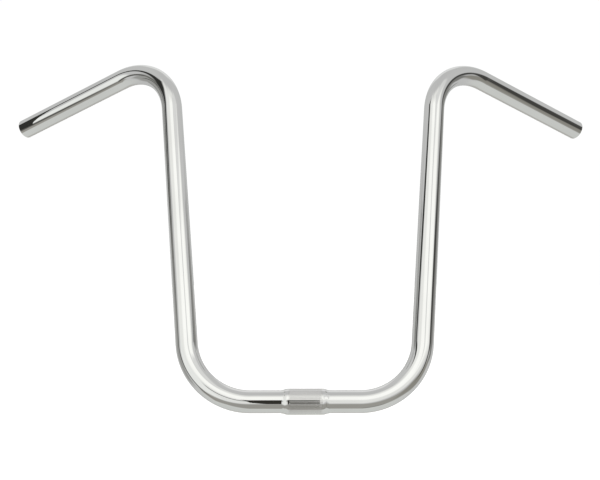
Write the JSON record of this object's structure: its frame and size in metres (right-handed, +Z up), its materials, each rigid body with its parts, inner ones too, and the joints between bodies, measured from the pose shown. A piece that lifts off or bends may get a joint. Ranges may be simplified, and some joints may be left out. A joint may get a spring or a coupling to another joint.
{
  "type": "handlebar",
  "caption": "High-rise handlebar: a bent round chrome steel tube with splayed uprights, swept drooping grips and a thicker ribbed clamp sleeve pressed on its middle.",
  "frame": {"origin": "centre of the clamp sleeve, on the tube's axis", "axes": "+X along the clamp, from the left grip's side to the right grip's side as seen from the front; +Z up; +Y back towards the rider. The bar is rolled back 22 degrees in its clamp, as it is when fitted, so the uprights lean towards +Y."},
  "size_m": [0.6888, 0.2697, 0.3726],
  "materials": {
    "tube_chrome": "bright chrome plate, mirror polished, with faint draw lines along the tube",
    "sleeve_chrome": "chrome plate over fine ribs along the sleeve, duller than the tube, with bright smooth ends"
  },
  "bodies": {
    "root": {"handlebar_tube": "tube_chrome", "clamp_sleeve": "sleeve_chrome"}
  },
  "joints": []
}
